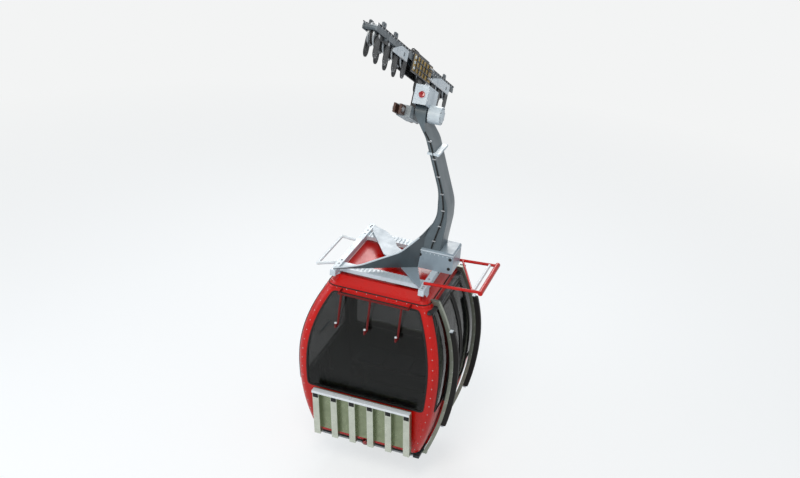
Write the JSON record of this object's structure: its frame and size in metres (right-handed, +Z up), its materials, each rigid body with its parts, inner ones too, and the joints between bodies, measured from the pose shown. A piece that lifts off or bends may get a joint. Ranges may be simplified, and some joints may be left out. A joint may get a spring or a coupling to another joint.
{
  "type": "cable car cabin",
  "caption": "Aerial tramway cabin hung from a rope carriage by a curved arm, with grooved rope wheels, sliding door leaves, a roof frame, guard ribs and ski racks.",
  "frame": {"origin": "on the track rope's axis at the middle of the carriage", "axes": "+X across the rope to the door side, +Y level along the rope's course to its downhill end, +Z up"},
  "size_m": [1.8729, 2.7142, 4.9562],
  "materials": {
    "dark_steel": "satin, greasy",
    "rocker_steel": "satin",
    "wheel_grey": "machined rim",
    "brake_yellow": "satin, dirty",
    "haul_grey": "satin",
    "clevis_brown": "satin",
    "hanger_grey": "satin",
    "silver_paint": "satin",
    "cabin_red": "gloss",
    "floor_aluminium": "satin",
    "aluminium": "brushed",
    "black_rubber": "matt",
    "tinted_glass": "tinted",
    "bench_grey": "matt"
  },
  "bodies": {
    "carriage": {"carriage_frame": "dark_steel", "pivot_bracket": "dark_steel", "brake_frame": "dark_steel", "brake_block": "brake_yellow", "haul_clevis_uphill": "clevis_brown", "haul_clevis_downhill": "clevis_brown", "shield_plates": "silver_paint", "haul_arm": "haul_grey", "head_cover": "silver_paint", "pivot_drum": "silver_paint"},
    "rocker_1": {"rocker_1": "rocker_steel"},
    "rocker_2": {"rocker_2": "rocker_steel"},
    "rocker_3": {"rocker_3": "rocker_steel"},
    "rocker_4": {"rocker_4": "rocker_steel"},
    "wheel_1": {"wheel_1": "wheel_grey"},
    "wheel_2": {"wheel_2": "wheel_grey"},
    "wheel_3": {"wheel_3": "wheel_grey"},
    "wheel_4": {"wheel_4": "wheel_grey"},
    "wheel_5": {"wheel_5": "wheel_grey"},
    "wheel_6": {"wheel_6": "wheel_grey"},
    "wheel_7": {"wheel_7": "wheel_grey"},
    "wheel_8": {"wheel_8": "wheel_grey"},
    "door_uphill": {"door_leaf_uphill": "cabin_red", "door_glass_uphill": "tinted_glass"},
    "door_downhill": {"door_leaf_downhill": "cabin_red", "door_glass_downhill": "tinted_glass"},
    "cabin": {"hanger": "hanger_grey", "roof_web": "hanger_grey", "roof_brace": "hanger_grey", "cross_plates": "silver_paint", "hood_box": "silver_paint", "roof_beam_left": "silver_paint", "roof_beam_right": "silver_paint", "side_frame_left": "silver_paint", "rung_bracket": "silver_paint", "roof": "cabin_red", "corner_posts": "cabin_red", "end_wall_uphill": "cabin_red", "end_wall_downhill": "cabin_red", "side_wall": "cabin_red", "door_wall": "cabin_red", "side_frame_right": "cabin_red", "ski_hooks_uphill": "cabin_red", "ski_hooks_downhill": "cabin_red", "floor": "floor_aluminium", "guard_ribs": "aluminium", "door_rails": "aluminium", "ski_rack_uphill": "aluminium", "ski_rack_downhill": "aluminium", "guard_rubbers": "black_rubber", "cabin_glass": "tinted_glass", "bench_uphill": "bench_grey", "bench_downhill": "bench_grey"}
  },
  "joints": [
    {"name": "rocker_1_tilt", "type": "hinge", "parent": "carriage", "child": "rocker_1", "pos_m": [0, -1.0049, 0.66488], "axis": [1, 0, 0], "range_deg": [-8, 8]},
    {"name": "wheel_1_spin", "type": "hinge", "parent": "rocker_1", "child": "wheel_1", "pos_m": [0, -1.14767, 0.73721], "axis": [1, 0, 0], "continuous": true},
    {"name": "wheel_2_spin", "type": "hinge", "parent": "rocker_1", "child": "wheel_2", "pos_m": [0, -0.86592, 0.5855], "axis": [1, 0, 0], "continuous": true},
    {"name": "rocker_2_tilt", "type": "hinge", "parent": "carriage", "child": "rocker_2", "pos_m": [0, -0.459, 0.37094], "axis": [1, 0, 0], "range_deg": [-8, 8]},
    {"name": "wheel_3_spin", "type": "hinge", "parent": "rocker_2", "child": "wheel_3", "pos_m": [0, -0.60177, 0.44327], "axis": [1, 0, 0], "continuous": true},
    {"name": "wheel_4_spin", "type": "hinge", "parent": "rocker_2", "child": "wheel_4", "pos_m": [0, -0.32002, 0.29157], "axis": [1, 0, 0], "continuous": true},
    {"name": "rocker_3_tilt", "type": "hinge", "parent": "carriage", "child": "rocker_3", "pos_m": [0, 0.56235, -0.179], "axis": [1, 0, 0], "range_deg": [-8, 8]},
    {"name": "wheel_5_spin", "type": "hinge", "parent": "rocker_3", "child": "wheel_5", "pos_m": [0, 0.41958, -0.10667], "axis": [1, 0, 0], "continuous": true},
    {"name": "wheel_6_spin", "type": "hinge", "parent": "rocker_3", "child": "wheel_6", "pos_m": [0, 0.70133, -0.25838], "axis": [1, 0, 0], "continuous": true},
    {"name": "rocker_4_tilt", "type": "hinge", "parent": "carriage", "child": "rocker_4", "pos_m": [0, 1.10825, -0.47293], "axis": [1, 0, 0], "range_deg": [-8, 8]},
    {"name": "wheel_7_spin", "type": "hinge", "parent": "rocker_4", "child": "wheel_7", "pos_m": [0, 0.96548, -0.4006], "axis": [1, 0, 0], "continuous": true},
    {"name": "wheel_8_spin", "type": "hinge", "parent": "rocker_4", "child": "wheel_8", "pos_m": [0, 1.24723, -0.55231], "axis": [1, 0, 0], "continuous": true},
    {"name": "hanger_swing", "type": "hinge", "parent": "carriage", "child": "cabin", "pos_m": [0.1675, 0, -0.354], "axis": [1, 0, 0], "range_deg": [-40, 20]},
    {"name": "door_uphill_slide", "type": "slide", "parent": "cabin", "child": "door_uphill", "axis": [0, -1, 0], "range_m": [0, 0.3]},
    {"name": "door_downhill_slide", "type": "slide", "parent": "cabin", "child": "door_downhill", "axis": [0, 1, 0], "range_m": [0, 0.3]}
  ]
}
